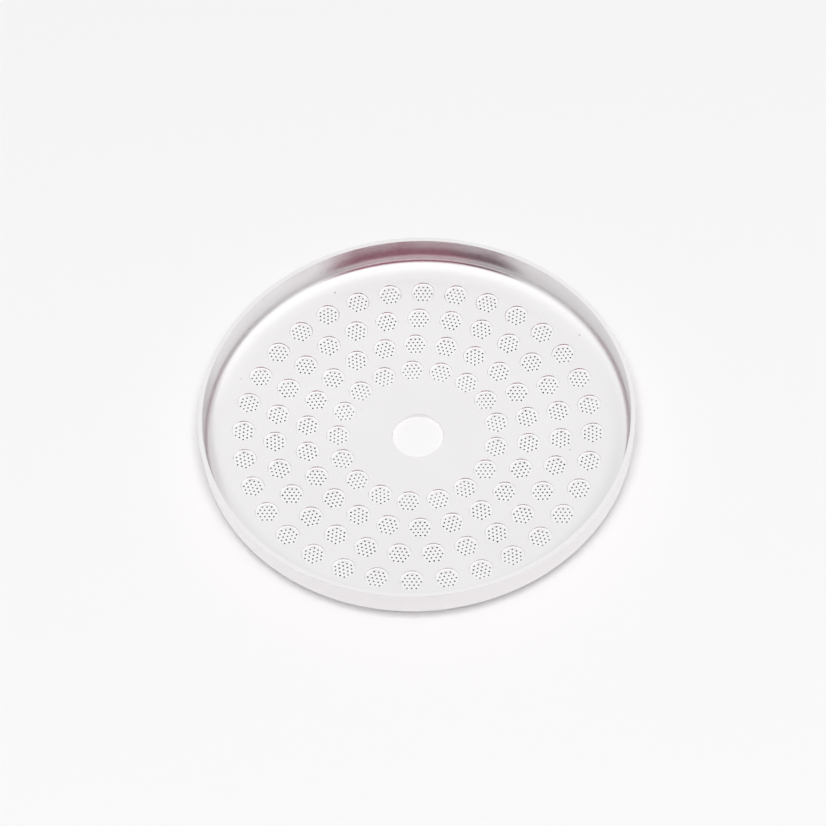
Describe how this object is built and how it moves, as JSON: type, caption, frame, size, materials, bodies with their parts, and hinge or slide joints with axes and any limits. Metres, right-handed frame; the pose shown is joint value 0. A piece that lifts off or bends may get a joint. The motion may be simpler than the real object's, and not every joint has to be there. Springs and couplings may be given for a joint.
{
  "type": "espresso shower screen",
  "caption": "Round precision shower screen for an espresso group head: a shallow steel pan with a screw hole and rings of etched spots.",
  "frame": {"origin": "on the axis, at the height of the lowest edge, which is the underside's edge round the screw hole", "axes": "+Z along the axis, out of the pan's open side; +X through the spot with which every ring starts"},
  "size_m": [0.057, 0.057, 0.0065],
  "materials": {
    "steel": "satin to bright"
  },
  "bodies": {
    "root": {"shower_screen": "steel"}
  },
  "joints": []
}
